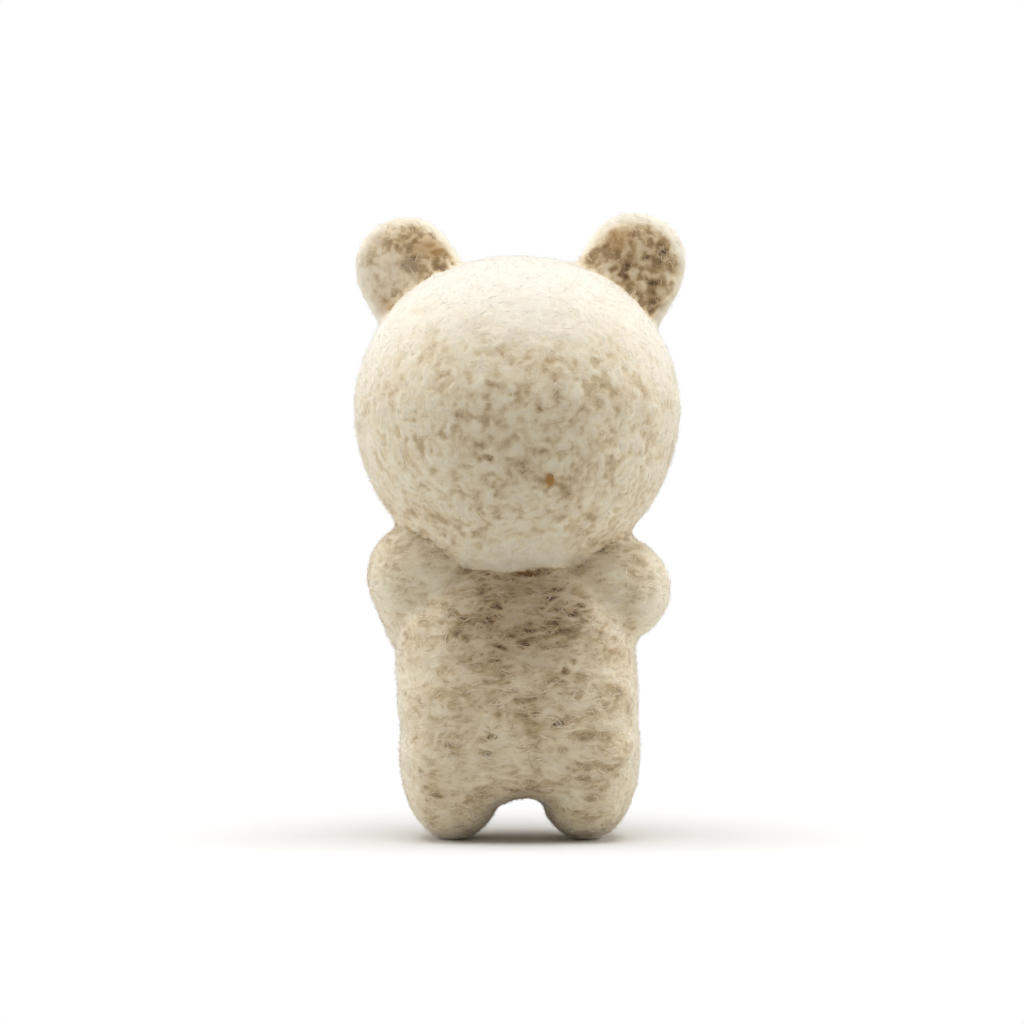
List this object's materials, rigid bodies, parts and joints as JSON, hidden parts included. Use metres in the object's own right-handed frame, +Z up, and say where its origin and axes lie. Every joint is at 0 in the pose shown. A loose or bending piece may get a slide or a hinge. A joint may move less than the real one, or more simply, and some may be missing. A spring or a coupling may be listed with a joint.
{
  "type": "felt bear ornament",
  "caption": "Small standing bear of needle-felted wool with a round head, upright ears and short raised arms.",
  "frame": {"origin": "on the floor under the middle of the figure's bounding box", "axes": "+Z up from the soles to the ears; the bear faces -Y, so its own left is +X"},
  "size_m": [0.04, 0.0388, 0.075],
  "materials": {
    "head_wool": "matt cream wool, felted into short curls",
    "torso_wool": "matt oatmeal wool, wrapped sideways and felted",
    "ear_wool": "matt tan wool with a pale fuzzy rim",
    "core_wool": "firm undyed wool stuffing",
    "dark_wool": "dark brown wool, felted smooth",
    "eye_bead": "polished opaque black glass bead"
  },
  "bodies": {
    "root": {"torso_core": "core_wool", "torso_cover": "torso_wool", "head_core": "core_wool", "head_cover": "head_wool", "neck_plug": "core_wool", "leg_left": "torso_wool", "leg_right": "torso_wool", "arm_left": "torso_wool", "arm_right": "torso_wool", "ear_left": "ear_wool", "ear_right": "ear_wool", "muzzle": "head_wool", "nose": "dark_wool", "mouth_stitch": "dark_wool", "eye_left": "eye_bead", "eye_right": "eye_bead"}
  },
  "joints": []
}
